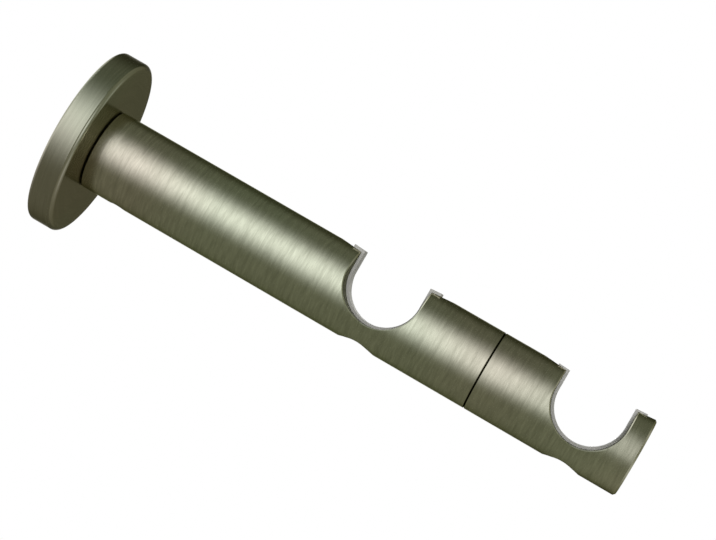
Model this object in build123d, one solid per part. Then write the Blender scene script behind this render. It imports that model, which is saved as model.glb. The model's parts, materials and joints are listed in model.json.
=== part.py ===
from build123d import *
import math
import os

# A bracket for two curtain poles: a round bar arm on a wall rose, with a second cradle screwed to its end.
# The wall is the plane y = 0 and the arm runs out from it along -Y, on the line x = 0, z = 0.
# Each pole lies along X in a U cradle that opens upwards, to +Z. A distance is measured from the wall.

# Poles and where they run
pole_diameter = 20.0
rear_pole_from_wall = 98.5
pole_spacing = 65.5

# Arm and front section
arm_diameter = 24.0
joint_after_rear_pole = 34.5
end_after_front_pole = 17.1
heel_chamfer = 0.6
joint_edge_chamfer = 0.4
end_edge_chamfer = 0.6

# Cradles and their liners
bridge_height = 6.4
cradle_edge_break = 0.3
pole_clearance = 0.5
liner_wall = 0.8
liner_width = 7.0
seat_depth = 0.6
seat_slope = 5.0
lip_length = 2.7
rear_lip_wall = 0.8
front_lip_wall = 0.4
lip_edge_radius = 0.15

# Screw under each pole, reached through a spot face in the underside of the bar
spot_face_diameter = 10.2
spot_face_depth = 2.2
spot_face_edge = 0.7
pole_screw_diameter = 6.0
pole_screw_length = 4.0
pole_screw_key = 3.0
pole_screw_setback = 0.1

# Rose, the turned cup that covers the wall plate
rose_diameter = 54.0
rose_depth = 8.0
rose_rim = 2.5
rose_skin = 2.5
rose_front_radius = 1.4
rose_back_radius = 1.0

# Wall plate, with the spigot that the arm is pushed onto
plate_thickness = 3.0
plate_side_gap = 0.5
spigot_diameter = 14.0
spigot_reach = 32.0
spigot_chamfer = 0.8
groove_from_wall = 20.0
groove_width = 6.0
groove_depth = 1.25
wall_screw_count = 3
wall_screw_circle = 34.0
wall_screw_hole = 4.5
wall_screw_head = 8.4

# Grub screw that holds the arm on the spigot
arm_screw_diameter = 5.0
arm_screw_setback = 1.2
arm_screw_key = 2.5

# Threaded stud that joins the front section to the arm
stud_diameter = 8.0
stud_length = 20.0
stud_in_arm = 11.0
stud_key = 4.0

# Clearances and workshop habits
liner_gap = 0.05
spigot_clearance = 0.05
rose_clearance = 0.1
thread_clearance = 0.05
bore_end_space = 1.0
drill_point_angle = 118.0
key_depth_per_width = 0.7
point_chamfer_per_diameter = 0.15
key_end_chamfer_per_diameter = 0.08

# Worked out from the sizes above
arm_radius = arm_diameter / 2
joint_from_wall = rear_pole_from_wall + joint_after_rear_pole
front_pole_from_wall = rear_pole_from_wall + pole_spacing
end_from_wall = front_pole_from_wall + end_after_front_pole
liner_inner_radius = pole_diameter / 2 + pole_clearance
liner_outer_radius = liner_inner_radius + liner_wall
cradle_radius = liner_outer_radius + liner_gap
cradle_floor = bridge_height - arm_radius
cradle_centre = cradle_floor + cradle_radius
seat_height = arm_radius - seat_depth
seat_rise = math.tan(math.radians(seat_slope))
groove_radius = spigot_diameter / 2 - groove_depth
arm_screw_tip = groove_radius + thread_clearance
arm_screw_length = arm_radius - arm_screw_setback - arm_screw_tip
clear_of_bar = 2 * arm_diameter


def band(inner, outer, near, far):
    # The half section of a ring between two radii, from one distance to another
    return Pos((inner + outer) / 2, -(near + far) / 2) * Rectangle(outer - inner, far - near)


def turned(half_section):
    # A turned piece, from a half section with x as its radius and -y as its distance
    return revolve(Plane.XY * half_section, axis=Axis.Y)


def drilled_hole(diameter, mouth, depth, towards_wall=False):
    # A blind hole along the arm from its mouth, with the cone of the drill's point at its end
    point = diameter / 2 / math.tan(math.radians(drill_point_angle / 2))
    hole = Pos(0, 0, depth / 2) * Cylinder(diameter / 2, depth)
    hole += Pos(0, 0, depth + point / 2) * Cone(diameter / 2, 0, point)
    return Pos(0, -mouth, 0) * Rot(-90 if towards_wall else 90, 0, 0) * hole


def upright_hole(diameter, distance, low, high):
    # A round hole straight up through the arm's axis, between two heights
    return Pos(0, -distance, (low + high) / 2) * Cylinder(diameter / 2, high - low)


def ring_edges(piece):
    # The round edges of a turned piece, from the farthest to the nearest to the wall
    return piece.edges().filter_by(GeomType.CIRCLE).sort_by(Axis.Y)


def cradle_outline(distance, radius, top):
    # The U of a cradle seen along its pole: a half round with straight sides up to a height
    sides = Pos(-distance, (cradle_centre + top) / 2) * Rectangle(2 * radius, top - cradle_centre)
    return sides + Pos(-distance, cradle_centre) * Circle(radius)


def along_pole(outline, width):
    # An outline seen along the pole, drawn out to a width that is centred on the arm
    return extrude(Plane.YZ * outline, amount=width / 2, both=True)


def is_cradle_rim(point, distance):
    # Whether a point lies on a rim of the U, outside the flats and above the underside
    beside_pole = abs(point.Y + distance) < cradle_radius + liner_gap
    return beside_pole and abs(point.X) > liner_width / 2 and point.Z > cradle_floor - liner_gap


def cut_cradle(bar, distance):
    # The U cradle through the bar
    bar -= along_pole(cradle_outline(distance, cradle_radius, clear_of_bar), clear_of_bar)

    # A flat on each side of it for the liner's lip, which runs out into the round of the bar
    for side in (1, -1):
        flat = Polygon(
            (0, seat_height - cradle_radius * seat_rise),
            (side * clear_of_bar, seat_height + (clear_of_bar - cradle_radius) * seat_rise),
            (0, clear_of_bar),
            align=None,
        )
        bar -= along_pole(Pos(-distance, 0) * flat, clear_of_bar)

    # The rims of the U are broken where it comes out of the round of the bar
    rims = bar.edges().filter_by(lambda edge: is_cradle_rim(edge.position_at(0.5), distance))
    bar = chamfer(rims, cradle_edge_break)

    # The spot face in the underside, its broken edge and the screw's threaded hole up into the cradle
    face_height = spot_face_depth - arm_radius
    bar -= upright_hole(spot_face_diameter, distance, -clear_of_bar, face_height)
    face_radius = spot_face_diameter / 2
    edge_break = Cone(face_radius + spot_face_edge, face_radius, spot_face_edge)
    bar -= Pos(0, -distance, spot_face_edge / 2 - arm_radius) * edge_break
    bar -= upright_hole(pole_screw_diameter + 2 * thread_clearance, distance, -arm_radius, cradle_centre)
    return bar


def make_wall_plate():
    plate_radius = rose_diameter / 2 - rose_rim - plate_side_gap
    half = band(0, plate_radius, 0, plate_thickness)
    half += band(0, spigot_diameter / 2, 0, spigot_reach)
    groove_near = groove_from_wall - groove_width / 2
    half -= band(groove_radius, spigot_diameter, groove_near, groove_near + groove_width)
    plate = turned(half)
    plate = chamfer(ring_edges(plate)[0], spigot_chamfer)

    # Countersunk holes for the wall screws, the first one at the top
    sink_depth = (wall_screw_head - wall_screw_hole) / 2
    sink = Cone(wall_screw_hole / 2, wall_screw_head / 2, sink_depth)
    hole = Cylinder(wall_screw_hole / 2, 4 * plate_thickness)
    hole += Pos(0, 0, plate_thickness - sink_depth / 2) * sink
    for number in range(wall_screw_count):
        turn = Rot(0, number * 360 / wall_screw_count, 0)
        plate -= turn * Pos(0, 0, wall_screw_circle / 2) * Rot(90, 0, 0) * hole
    return plate


def make_rose():
    radius = rose_diameter / 2
    half = band(spigot_diameter / 2 + rose_clearance, radius, 0, rose_depth)
    half -= band(0, radius - rose_rim, 0, rose_depth - rose_skin)
    front_corner = half.vertices().group_by(Axis.X)[-1].sort_by(Axis.Y)[0]
    half = fillet(front_corner, rose_front_radius)
    back_corner = half.vertices().group_by(Axis.X)[-1].sort_by(Axis.Y)[-1]
    half = fillet(back_corner, rose_back_radius)
    return turned(half)


def make_arm():
    arm = turned(band(0, arm_radius, rose_depth, joint_from_wall))
    arm = chamfer(ring_edges(arm)[-1], heel_chamfer)
    spigot_bore = spigot_diameter + 2 * spigot_clearance
    arm -= drilled_hole(spigot_bore, rose_depth, spigot_reach + bore_end_space - rose_depth)
    arm -= upright_hole(arm_screw_diameter + 2 * thread_clearance, groove_from_wall, -clear_of_bar, 0)
    stud_bore = stud_diameter + 2 * thread_clearance
    arm -= drilled_hole(stud_bore, joint_from_wall, stud_in_arm + bore_end_space, towards_wall=True)
    return cut_cradle(arm, rear_pole_from_wall)


def make_front_section():
    section = turned(band(0, arm_radius, joint_from_wall, end_from_wall))
    section = chamfer(ring_edges(section)[-1], joint_edge_chamfer)
    section = chamfer(ring_edges(section)[0], end_edge_chamfer)
    stud_bore = stud_diameter + 2 * thread_clearance
    section -= drilled_hole(stud_bore, joint_from_wall, stud_length - stud_in_arm + bore_end_space)
    return cut_cradle(section, front_pole_from_wall)


def make_liner(distance, lip_wall):
    # A plastic strip bent to a U, with its ends turned outwards over the flats on the bar
    outline = cradle_outline(distance, liner_outer_radius, seat_height)
    outline -= cradle_outline(distance, liner_inner_radius, clear_of_bar)
    lip_under = seat_height + liner_gap
    lip_end = liner_outer_radius + lip_length
    for side in (1, -1):
        lip = Polygon(
            (side * liner_inner_radius, lip_under - liner_wall),
            (side * liner_inner_radius, lip_under + lip_wall),
            (side * lip_end, lip_under + lip_wall + lip_length * seat_rise),
            (side * lip_end, lip_under + lip_length * seat_rise),
            (side * liner_outer_radius, lip_under),
            (side * liner_outer_radius, lip_under - liner_wall),
            align=None,
        )
        upper_corners = lip.vertices().sort_by(Axis.Y)[-2:]
        outline += Pos(-distance, 0) * fillet(upper_corners, lip_edge_radius)
    return along_pole(outline, liner_width)


def make_grub_screw(diameter, length, key):
    # A socket set screw that points up from below the origin, with its key socket in the lower end
    screw = Pos(0, 0, -length / 2) * Cylinder(diameter / 2, length)
    ends = screw.edges().filter_by(GeomType.CIRCLE).sort_by(Axis.Z)
    screw = chamfer(ends[-1], point_chamfer_per_diameter * diameter)
    ends = screw.edges().filter_by(GeomType.CIRCLE).sort_by(Axis.Z)
    screw = chamfer(ends[0], key_end_chamfer_per_diameter * diameter)
    socket = extrude(RegularPolygon(key / 2, 6, major_radius=False), amount=key_depth_per_width * key)
    return screw - Pos(0, 0, -length) * socket


def make_pole_screw(distance):
    screw = make_grub_screw(pole_screw_diameter, pole_screw_length, pole_screw_key)
    return Pos(0, -distance, cradle_floor - pole_screw_setback) * screw


def make_arm_grub_screw():
    screw = make_grub_screw(arm_screw_diameter, arm_screw_length, arm_screw_key)
    return Pos(0, -groove_from_wall, -arm_screw_tip) * screw


def make_joining_stud():
    stud = make_grub_screw(stud_diameter, stud_length, stud_key)
    return Pos(0, stud_in_arm - joint_from_wall, 0) * Rot(-90, 0, 0) * stud


os.makedirs("parts", exist_ok=True)
pieces = {
    "wall_plate": make_wall_plate(),
    "rosette": make_rose(),
    "arm": make_arm(),
    "arm_grub_screw": make_arm_grub_screw(),
    "joining_stud": make_joining_stud(),
    "front_section": make_front_section(),
    "rear_liner": make_liner(rear_pole_from_wall, rear_lip_wall),
    "front_liner": make_liner(front_pole_from_wall, front_lip_wall),
    "rear_pole_screw": make_pole_screw(rear_pole_from_wall),
    "front_pole_screw": make_pole_screw(front_pole_from_wall),
}
for name, piece in pieces.items():
    export_step(piece, f"parts/{name}.step")
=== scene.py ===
import json
import math
import bpy
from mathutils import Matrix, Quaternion, Vector


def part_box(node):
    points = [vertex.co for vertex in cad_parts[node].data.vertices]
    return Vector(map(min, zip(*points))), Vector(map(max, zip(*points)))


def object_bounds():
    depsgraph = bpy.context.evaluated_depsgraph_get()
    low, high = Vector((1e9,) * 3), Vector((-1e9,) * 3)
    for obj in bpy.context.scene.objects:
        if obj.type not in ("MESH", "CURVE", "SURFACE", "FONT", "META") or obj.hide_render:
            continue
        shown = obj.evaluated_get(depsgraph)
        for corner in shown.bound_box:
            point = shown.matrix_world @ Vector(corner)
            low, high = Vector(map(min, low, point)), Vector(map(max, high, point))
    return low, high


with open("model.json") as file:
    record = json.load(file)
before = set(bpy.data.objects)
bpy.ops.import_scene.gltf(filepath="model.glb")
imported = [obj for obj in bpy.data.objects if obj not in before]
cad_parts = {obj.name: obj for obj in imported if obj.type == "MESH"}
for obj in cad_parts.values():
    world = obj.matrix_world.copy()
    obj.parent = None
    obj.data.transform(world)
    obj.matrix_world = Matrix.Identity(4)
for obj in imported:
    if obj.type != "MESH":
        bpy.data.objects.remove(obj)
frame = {"nodes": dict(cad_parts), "record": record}

cad_low, cad_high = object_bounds()
bpy.context.scene.view_settings.view_transform = "Standard"
bpy.ops.object.select_all(action="DESELECT")

# Wall plate: a turned steel disc with a spigot, bright zinc plated against rust.
# Three countersunk screws hold it to the wall, and the rose hides all of it but its back.
# Zinc plate is a bluish white metal with a fine cloudy bloom from the plating bath.


def linear(hex_colour):
    # An sRGB colour as the linear values that a shader takes
    channels = [int(hex_colour[place:place + 2], 16) / 255 for place in (1, 3, 5)]
    lit = [c / 12.92 if c <= 0.04045 else ((c + 0.055) / 1.055) ** 2.4 for c in channels]
    return (*lit, 1.0)


def add_node(tree, kind, values=None, links=None, **settings):
    # One node with its settings, the values of its inputs and the outputs linked to them
    node = tree.nodes.new(kind)
    for name, value in settings.items():
        setattr(node, name, value)
    for socket, value in (values or {}).items():
        node.inputs[socket].default_value = value
    for socket, output in (links or {}).items():
        tree.links.new(output, node.inputs[socket])
    return node


def start_material(name):
    # A named material with an empty node tree
    material = bpy.data.materials.new(name)
    material.use_nodes = True
    material.node_tree.nodes.clear()
    return material, material.node_tree


def dress(node_name, material):
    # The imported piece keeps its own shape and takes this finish
    piece = frame["nodes"][node_name]
    piece.data.materials.clear()
    piece.data.materials.append(material)


zinc_colour = "#B9BCC0"
zinc_bloom_colour = "#9EA2A8"
zinc_bloom_size = 0.003

zinc_plate, tree = start_material("bright_zinc_plate")
place = add_node(tree, "ShaderNodeTexCoord")
bloom = add_node(tree, "ShaderNodeTexNoise", {"Scale": 1 / zinc_bloom_size, "Detail": 4.0},
                 {"Vector": place.outputs["Object"]})
zinc = add_node(tree, "ShaderNodeMix", {"A": linear(zinc_colour), "B": linear(zinc_bloom_colour)},
                {"Factor": bloom.outputs["Fac"]}, data_type="RGBA")
zinc_gloss = add_node(tree, "ShaderNodeMapRange", {"To Min": 0.28, "To Max": 0.42},
                      {"Value": bloom.outputs["Fac"]})
shader = add_node(tree, "ShaderNodeBsdfPrincipled", {"Metallic": 1.0},
                  {"Base Color": zinc.outputs["Result"], "Roughness": zinc_gloss.outputs["Result"]})
add_node(tree, "ShaderNodeOutputMaterial", links={"Surface": shader.outputs["BSDF"]})
dress("wall_plate", zinc_plate)

# Rose: an aluminium cup turned on a lathe, brushed as it spins and anodised in a satin nickel shade.
# It slips over the spigot and the plate, and the heel of the arm presses it to the wall.
# Each brush line is a short arc round the axis, and on a flat face the arcs lie in rings.


def brushed_round_axis(name, groove_colour, land_colour, edge_colour, line_spacing):
    # Satin anodised aluminium with brush lines that run round the arm's axis, Y
    # It returns the nodes whose colour and place a piece's own section may work on
    line_cells_per_radian = 1.6
    groove_level = 0.26
    land_level = 0.74
    greenish_cast = "#FBFFFB"
    warm_cast = "#FFF6F8"
    drift_length = 0.04
    greenish_level = 0.35
    warm_level = 0.65

    material, tree = start_material(name)
    place = add_node(tree, "ShaderNodeTexCoord")
    apart = add_node(tree, "ShaderNodeSeparateXYZ", links={"Vector": place.outputs["Object"]})
    flat = add_node(tree, "ShaderNodeCombineXYZ", links={"X": apart.outputs["X"], "Z": apart.outputs["Z"]})
    radius = add_node(tree, "ShaderNodeVectorMath", links={0: flat.outputs["Vector"]}, operation="LENGTH")
    outward = add_node(tree, "ShaderNodeVectorMath", links={0: flat.outputs["Vector"]},
                       operation="NORMALIZE")

    # A line keeps its distance along the axis plus its radius, so the pattern turns corners
    along = add_node(tree, "ShaderNodeMath", links={0: apart.outputs["Y"], 1: radius.outputs["Value"]},
                     operation="ADD")
    lines_along = add_node(tree, "ShaderNodeMath", {1: 1 / line_spacing}, {0: along.outputs["Value"]},
                           operation="MULTIPLY")
    lines_round = add_node(tree, "ShaderNodeVectorMath", {"Scale": line_cells_per_radian},
                           {0: outward.outputs["Vector"]}, operation="SCALE")
    lift = add_node(tree, "ShaderNodeCombineXYZ", links={"Y": lines_along.outputs["Value"]})
    pattern = add_node(tree, "ShaderNodeVectorMath",
                       links={0: lines_round.outputs["Vector"], 1: lift.outputs["Vector"]}, operation="ADD")
    lines = add_node(tree, "ShaderNodeTexNoise", {"Scale": 1.0, "Detail": 3.0, "Roughness": 0.75},
                     {"Vector": pattern.outputs["Vector"]})
    shade = add_node(tree, "ShaderNodeMapRange", {"From Min": groove_level, "From Max": land_level},
                     {"Value": lines.outputs["Fac"]})
    lined = add_node(tree, "ShaderNodeMix", {"A": linear(groove_colour), "B": linear(land_colour)},
                     {"Factor": shade.outputs["Result"]}, data_type="RGBA")

    # The anodising drifts a little between a greenish and a warm cast over a few centimetres
    drift = add_node(tree, "ShaderNodeTexNoise", {"Scale": 1 / drift_length, "Detail": 0.0},
                     {"Vector": place.outputs["Object"]})
    swing = add_node(tree, "ShaderNodeMapRange", {"From Min": greenish_level, "From Max": warm_level},
                     {"Value": drift.outputs["Fac"]})
    cast = add_node(tree, "ShaderNodeMix", {"A": linear(greenish_cast), "B": linear(warm_cast)},
                    {"Factor": swing.outputs["Result"]}, data_type="RGBA")
    tint = add_node(tree, "ShaderNodeMix", {"Factor": 1.0},
                    {"A": lined.outputs["Result"], "B": cast.outputs["Result"]},
                    data_type="RGBA", blend_type="MULTIPLY")

    # The edge tint turns the metal olive where it is seen at a low angle
    shader = add_node(tree, "ShaderNodeBsdfPrincipled",
                      {"Metallic": 1.0, "Roughness": 0.2, "Specular Tint": linear(edge_colour)},
                      {"Base Color": tint.outputs["Result"]})
    add_node(tree, "ShaderNodeOutputMaterial", links={"Surface": shader.outputs["BSDF"]})
    return material, apart, radius, tint, shader


# The rose takes darker colours than the bar's same finish: painted shade that dims the whole rose.
rose_groove_colour = "#B8B9A8"
rose_land_colour = "#D0D1BF"
rose_edge_colour = "#B9B6A8"
rose_line_spacing = 0.0005
rose_finish = brushed_round_axis("satin_nickel_anodised_rose", rose_groove_colour, rose_land_colour,
                                 rose_edge_colour, rose_line_spacing)[0]
dress("rosette", rose_finish)

# Arm: a solid 24 mm aluminium bar, brushed round its axis on a belt and anodised like the rose.
# It is bored for the spigot, and the U for the rear pole is milled through it from above.
arm_groove_colour = "#C8C9B6"
arm_land_colour = "#F4F5E1"
arm_edge_colour = "#B4B695"
arm_line_spacing = 0.0009
arm_finish, apart, radius, tint, shader = brushed_round_axis(
    "satin_nickel_anodised_bar", arm_groove_colour, arm_land_colour, arm_edge_colour, arm_line_spacing)

# The walls of the cradles were milled after brushing, so they have no brush lines; their plain dark olive
# is painted shade, the shade deep inside each U.
cradle_wall_shade_colour = "#4A5024"
bar_skin_depth = 0.0004
cradle_half_width = 0.0116

tree = arm_finish.node_tree
arm_low, arm_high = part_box("arm")
inside = add_node(tree, "ShaderNodeMath", {1: arm_high.x - bar_skin_depth}, {0: radius.outputs["Value"]},
                  operation="LESS_THAN")
in_cradle = None
for mount in frame["record"]["mounts"]:
    if mount["kind"] == "clamp":
        near = add_node(tree, "ShaderNodeMath", {1: mount["pos_m"][1], 2: cradle_half_width},
                        {0: apart.outputs["Y"]}, operation="COMPARE")
        if in_cradle:
            near = add_node(tree, "ShaderNodeMath",
                            links={0: in_cradle.outputs["Value"], 1: near.outputs["Value"]},
                            operation="ADD")
        in_cradle = near
in_painted_wall_shade = add_node(tree, "ShaderNodeMath", links={0: inside.outputs["Value"], 1: in_cradle.outputs["Value"]},
                  operation="MULTIPLY")
walls = add_node(tree, "ShaderNodeMix", {"B": linear(cradle_wall_shade_colour)},
                 {"Factor": in_painted_wall_shade.outputs["Value"], "A": tint.outputs["Result"]}, data_type="RGBA")

# At the heel a dark band against the rose is painted shade, the shade in the corner between bar and rose.
# The broken edges at the joint leave a fine dark seam.
heel_shade_and_seam_colour = "#5C5A44"
heel_gap_core = 0.00024
heel_gap_edge = 0.00056
joint_gap_offset = 0.00015
joint_gap_half_width = 0.0003
at_heel = add_node(tree, "ShaderNodeMapRange",
                   {"From Min": arm_high.y - heel_gap_edge, "From Max": arm_high.y - heel_gap_core},
                   {"Value": apart.outputs["Y"]})
at_joint = add_node(tree, "ShaderNodeMath", {1: arm_low.y - joint_gap_offset, 2: joint_gap_half_width},
                    {0: apart.outputs["Y"]}, operation="COMPARE")
in_heel_shade_and_seam = add_node(tree, "ShaderNodeMath",
                  links={0: at_heel.outputs["Result"], 1: at_joint.outputs["Value"]},
                  operation="MAXIMUM")
bar_colour = add_node(tree, "ShaderNodeMix", {"B": linear(heel_shade_and_seam_colour)},
                      {"Factor": in_heel_shade_and_seam.outputs["Value"], "A": walls.outputs["Result"]}, data_type="RGBA")
tree.links.new(bar_colour.outputs["Result"], shader.inputs["Base Color"])
dress("arm", arm_finish)

# Arm grub screw: a hardened steel socket screw that clamps the arm on the groove of its spigot.
# Screw steel is zinc plated and slightly dull, with a fine dark mottle.
steel_colour = "#9A9B9C"
steel_dark_colour = "#6E6F71"
steel_mottle_size = 0.0012

screw_steel, tree = start_material("dull_zinc_plated_screw_steel")
place = add_node(tree, "ShaderNodeTexCoord")
mottle = add_node(tree, "ShaderNodeTexNoise", {"Scale": 1 / steel_mottle_size, "Detail": 3.0},
                  {"Vector": place.outputs["Object"]})
steel = add_node(tree, "ShaderNodeMix", {"A": linear(steel_colour), "B": linear(steel_dark_colour)},
                 {"Factor": mottle.outputs["Fac"]}, data_type="RGBA")
shader = add_node(tree, "ShaderNodeBsdfPrincipled", {"Metallic": 1.0, "Roughness": 0.38},
                  {"Base Color": steel.outputs["Result"]})
add_node(tree, "ShaderNodeOutputMaterial", links={"Surface": shader.outputs["BSDF"]})
dress("arm_grub_screw", screw_steel)

# Joining stud: a headless screw of the same steel, turned half into the arm.
# The front section is screwed onto its other half until the two bars meet face to face.
dress("joining_stud", screw_steel)

# Front section: a short length of the same bar, bored from behind for the stud.
# Its U for the front pole is milled like the rear one.
dress("front_section", arm_finish)

# Liners: a strip of soft polythene in each U, so that the metal doesn't scratch the pole.
# The strip is moulded with its ends turned out, and is cloudy and slightly grey.
liner_colour = "#D0CFCA"
liner_cloud_colour = "#BCBBB4"
liner_cloud_size = 0.004

liner_plastic, tree = start_material("cloudy_polythene")
place = add_node(tree, "ShaderNodeTexCoord")
clouds = add_node(tree, "ShaderNodeTexNoise", {"Scale": 1 / liner_cloud_size, "Detail": 2.0},
                  {"Vector": place.outputs["Object"]})
plastic = add_node(tree, "ShaderNodeMix", {"A": linear(liner_colour), "B": linear(liner_cloud_colour)},
                   {"Factor": clouds.outputs["Fac"]}, data_type="RGBA")
shader = add_node(tree, "ShaderNodeBsdfPrincipled",
                  {"Roughness": 0.35, "IOR": 1.51, "Transmission Weight": 0.25},
                  {"Base Color": plastic.outputs["Result"]})
add_node(tree, "ShaderNodeOutputMaterial", links={"Surface": shader.outputs["BSDF"]})
dress("rear_liner", liner_plastic)
dress("front_liner", liner_plastic)

# Pole screws: short socket screws under each U, which lift the liner against the pole.
# Their key sockets are reached through the round recesses in the underside.
dress("rear_pole_screw", screw_steel)
dress("front_pole_screw", screw_steel)

# Floor: a sheet of pale card well below the bracket, which catches its soft shadow.
# Below the bracket it is half as white as the backdrop and further out just as white, so that
# the shadow shows but no edge does.
floor_drop = 0.5
floor_size = 8.0
floor_colour = "#E2E2E0"
shadow_reach = 0.35
white_reach = 0.70
near_whiteness = 0.5

middle = (cad_low + cad_high) / 2
bpy.ops.mesh.primitive_plane_add(size=floor_size, location=(middle.x, middle.y, cad_low.z - floor_drop))
floor = bpy.context.object
floor.name = "floor"


def backdrop_is_seen(tree):
    # 1 for a ray from the camera, off metal or through plastic, which sees the white backdrop
    path = add_node(tree, "ShaderNodeLightPath")
    either = add_node(tree, "ShaderNodeMath",
                      links={0: path.outputs["Is Camera Ray"], 1: path.outputs["Is Glossy Ray"]},
                      operation="MAXIMUM")
    any_of_three = add_node(tree, "ShaderNodeMath",
                            links={0: either.outputs["Value"], 1: path.outputs["Is Transmission Ray"]},
                            operation="MAXIMUM")
    return any_of_three.outputs["Value"]


pale_card, tree = start_material("pale_card")
place = add_node(tree, "ShaderNodeTexCoord")
away = add_node(tree, "ShaderNodeVectorMath", links={0: place.outputs["Object"]}, operation="LENGTH")
fade = add_node(tree, "ShaderNodeMapRange",
                {"From Min": shadow_reach, "From Max": white_reach, "To Min": near_whiteness},
                {"Value": away.outputs["Value"]}, interpolation_type="SMOOTHSTEP")
whiteness = add_node(tree, "ShaderNodeMath", links={0: fade.outputs["Result"], 1: backdrop_is_seen(tree)},
                     operation="MULTIPLY")
card = add_node(tree, "ShaderNodeBsdfDiffuse", {"Color": linear(floor_colour)})
white = add_node(tree, "ShaderNodeEmission", {"Color": linear("#FFFFFF")})
pale = add_node(tree, "ShaderNodeMixShader",
                links={0: whiteness.outputs["Value"], 1: card.outputs["BSDF"],
                       2: white.outputs["Emission"]})
add_node(tree, "ShaderNodeOutputMaterial", links={"Surface": pale.outputs["Shader"]})
floor.data.materials.append(pale_card)

# Studio: a white backdrop all round, as the photo has, and a soft even fill for all that isn't shiny.
# The world isn't sampled like a lamp, so that each kind of ray sees only what is meant for it.
fill_strength = 0.4

studio = bpy.data.worlds.new("studio")
bpy.context.scene.world = studio
studio.use_nodes = True
studio.cycles.sampling_method = "NONE"
tree = studio.node_tree
tree.nodes.clear()
fill = add_node(tree, "ShaderNodeBackground", {"Color": linear("#FFFFFF"), "Strength": fill_strength})
backdrop = add_node(tree, "ShaderNodeBackground", {"Color": linear("#FFFFFF"), "Strength": 1.0})
seen = add_node(tree, "ShaderNodeMixShader",
                links={0: backdrop_is_seen(tree), 1: fill.outputs["Background"],
                       2: backdrop.outputs["Background"]})
add_node(tree, "ShaderNodeOutputWorld", links={"Surface": seen.outputs["Shader"]})

# Tent: dim olive cloth on a large frame round the bracket, which only reflections see.
# The photo shows the bar dark along its upper and lower edges, which a bare white room turns white.
# Soft-edged windows let the white studio through: a wide one on the camera's side with a faint one
# below it, a narrow one behind, three towards the corners, and one at each end.
tent_half_width = 2.5
tent_height = 2.5
tent_hem_gap = 0.01
tent_top_colour = "#5C5F50"
tent_foot_colour = "#676757"
tent_back_colour = "#2F321F"
tent_front_colour = "#7B7B6A"
back_cloth_aim = (1.0, 0.0, 0.3)
back_cloth_start = 0.5
back_cloth_full = 1.15
front_cloth_start = -0.12
front_cloth_full = -0.24
side_windows = (
    # Degrees above the level on the camera's side, tightness, share of the white let through,
    # and the edges along the arm's axis, from the front to the wall
    (15, 5.0, 1.0, (-0.09, -0.01, 0.80, 0.97)),
    (-12, 9.0, 0.22, (-0.06, 0.01, 0.06, 0.14)),
    (15, 8.0, 0.9, (-0.96, -0.84, -0.56, -0.42)),
    (180, 28.0, 1.0, (-0.11, 0.05, 0.80, 0.97)),
    (155, 3.0, 0.9, (0.40, 0.60, 0.80, 0.97)),
    (155, 3.0, 0.2, (-0.97, -0.86, -0.74, -0.62)),
)
end_windows = (
    # Degrees above the level, which way along Y, tightness, share of the white let through
    (-26, -1, 14.0, 0.3),
    (0, 1, 5.0, 0.8),
)

tent_foot = cad_low.z - floor_drop + tent_hem_gap
bpy.ops.mesh.primitive_cube_add(size=2.0, location=(middle.x, middle.y, tent_foot + tent_height / 2),
                                scale=(tent_half_width, tent_half_width, tent_height / 2))
tent = bpy.context.object
tent.name = "tent"
tent.visible_camera = False
tent.visible_diffuse = False
tent.visible_transmission = False
tent.visible_shadow = False
olive_cloth, tree = start_material("olive_cloth")
place = add_node(tree, "ShaderNodeNewGeometry")
from_middle = add_node(tree, "ShaderNodeVectorMath", {1: middle}, {0: place.outputs["Position"]},
                       operation="SUBTRACT")
way = add_node(tree, "ShaderNodeVectorMath", links={0: from_middle.outputs["Vector"]},
               operation="NORMALIZE")
apart = add_node(tree, "ShaderNodeSeparateXYZ", links={"Vector": way.outputs["Vector"]})
round_axis = add_node(tree, "ShaderNodeVectorMath", {1: (1.0, 0.0, 1.0)}, {0: way.outputs["Vector"]},
                      operation="MULTIPLY")
across = add_node(tree, "ShaderNodeVectorMath", links={0: round_axis.outputs["Vector"]},
                  operation="NORMALIZE")
height = add_node(tree, "ShaderNodeMapRange", {"From Min": -1.0, "From Max": 1.0},
                  {"Value": apart.outputs["Z"]})
upright = add_node(tree, "ShaderNodeMix", {"A": linear(tent_foot_colour), "B": linear(tent_top_colour)},
                   {"Factor": height.outputs["Result"]}, data_type="RGBA")
backward = add_node(tree, "ShaderNodeVectorMath", {1: back_cloth_aim}, {0: way.outputs["Vector"]},
                    operation="DOT_PRODUCT")
behind = add_node(tree, "ShaderNodeMapRange", {"From Min": back_cloth_start, "From Max": back_cloth_full},
                  {"Value": backward.outputs["Value"]}, interpolation_type="SMOOTHSTEP")
back_cloth = add_node(tree, "ShaderNodeMix", {"B": linear(tent_back_colour)},
                      {"Factor": behind.outputs["Result"], "A": upright.outputs["Result"]},
                      data_type="RGBA")
in_front = add_node(tree, "ShaderNodeMapRange",
                    {"From Min": front_cloth_start, "From Max": front_cloth_full},
                    {"Value": apart.outputs["Y"]}, interpolation_type="SMOOTHSTEP")
olive = add_node(tree, "ShaderNodeMix", {"B": linear(tent_front_colour)},
                 {"Factor": in_front.outputs["Result"], "A": back_cloth.outputs["Result"]},
                 data_type="RGBA")


def lobe(direction, aim, tightness, share):
    # A window's soft spot: its share where a direction meets its aim, and less the further off it is
    facing = add_node(tree, "ShaderNodeVectorMath", {1: aim}, {0: direction}, operation="DOT_PRODUCT")
    ahead = add_node(tree, "ShaderNodeMath", {1: 0.0}, {0: facing.outputs["Value"]}, operation="MAXIMUM")
    soft = add_node(tree, "ShaderNodeMath", {1: tightness}, {0: ahead.outputs["Value"]}, operation="POWER")
    spot = add_node(tree, "ShaderNodeMath", {1: share}, {0: soft.outputs["Value"]}, operation="MULTIPLY")
    return spot.outputs["Value"]


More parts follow.
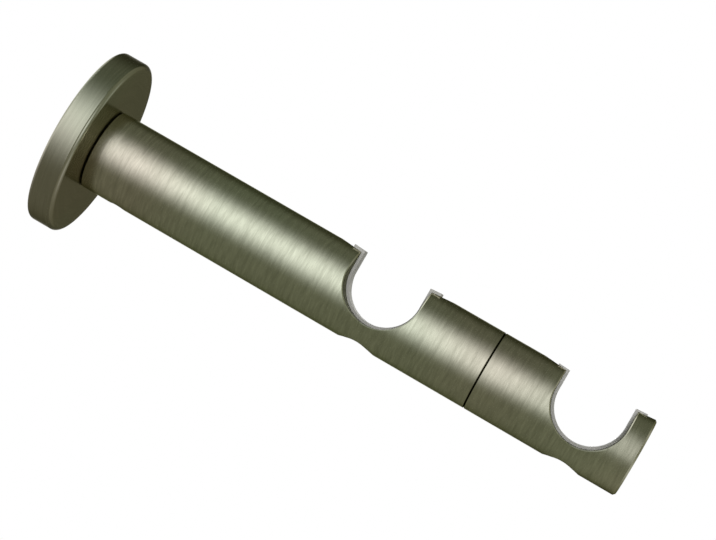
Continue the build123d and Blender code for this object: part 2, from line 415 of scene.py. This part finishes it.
def between(edges):
    # 1 between the two middle edges along the arm's axis, fading to 0 at the outer two
    near = add_node(tree, "ShaderNodeMapRange", {"From Min": edges[0], "From Max": edges[1]},
                    {"Value": apart.outputs["Y"]}, interpolation_type="SMOOTHSTEP")
    far = add_node(tree, "ShaderNodeMapRange", {"From Min": edges[3], "From Max": edges[2]},
                   {"Value": apart.outputs["Y"]}, interpolation_type="SMOOTHSTEP")
    inner = add_node(tree, "ShaderNodeMath", links={0: near.outputs["Result"], 1: far.outputs["Result"]},
                     operation="MULTIPLY")
    return inner.outputs["Value"]


spots = []
for rise, tightness, share, edges in side_windows:
    aim = (-math.cos(math.radians(rise)), 0.0, math.sin(math.radians(rise)))
    spot = add_node(tree, "ShaderNodeMath",
                    links={0: lobe(across.outputs["Vector"], aim, tightness, share), 1: between(edges)},
                    operation="MULTIPLY")
    spots.append(spot.outputs["Value"])
for rise, side, tightness, share in end_windows:
    aim = (0.0, side * math.cos(math.radians(rise)), math.sin(math.radians(rise)))
    spots.append(lobe(way.outputs["Vector"], aim, tightness, share))
clear = spots[0]
for spot in spots[1:]:
    total = add_node(tree, "ShaderNodeMath", links={0: clear, 1: spot}, operation="ADD")
    clear = total.outputs["Value"]
cloth = add_node(tree, "ShaderNodeEmission", links={"Color": olive.outputs["Result"]})
gap = add_node(tree, "ShaderNodeBsdfTransparent")
weave = add_node(tree, "ShaderNodeMixShader",
                 links={0: clear, 1: cloth.outputs["Emission"], 2: gap.outputs["BSDF"]})
add_node(tree, "ShaderNodeOutputMaterial", links={"Surface": weave.outputs["Shader"]})
tent.data.materials.append(olive_cloth)

# Lamp: a softbox overhead on the camera's side that shapes the plastic and the card's shadow.
# Reflections don't see it, so it puts no second highlight on the metal.
lamp_azimuth = math.radians(300)
lamp_rise = math.radians(55)
lamp_distance = 1.0
lamp_size = 0.5
lamp_power = 9.0

lamp_aim = Vector((math.sin(lamp_azimuth) * math.cos(lamp_rise),
                   -math.cos(lamp_azimuth) * math.cos(lamp_rise),
                   math.sin(lamp_rise)))
bpy.ops.object.light_add(type="AREA", location=middle + lamp_distance * lamp_aim)
lamp = bpy.context.object
lamp.name = "softbox"
lamp.data.size = lamp_size
lamp.data.energy = lamp_power
lamp.visible_glossy = False
lamp.rotation_euler = lamp_aim.to_track_quat("Z", "Y").to_euler()

# Camera: the place, aim and lens that the photo's perspective gives.
# It is rolled until the arm slopes down to the right by 30 degrees.
camera_place = Vector((-0.61913, -0.16106, 0.00841))
camera_target = Vector((0.0, -0.08842, 0.00656))
camera_roll = math.radians(30.0)
camera_lens = 112.0
camera_film = 36.0

bpy.ops.object.camera_add(location=camera_place)
camera = bpy.context.object
camera.data.lens = camera_lens
camera.data.sensor_width = camera_film
camera.rotation_mode = "QUATERNION"
level = (camera_target - camera_place).to_track_quat("-Z", "Y")
camera.rotation_quaternion = level @ Quaternion((0.0, 0.0, 1.0), camera_roll)
bpy.context.scene.camera = camera
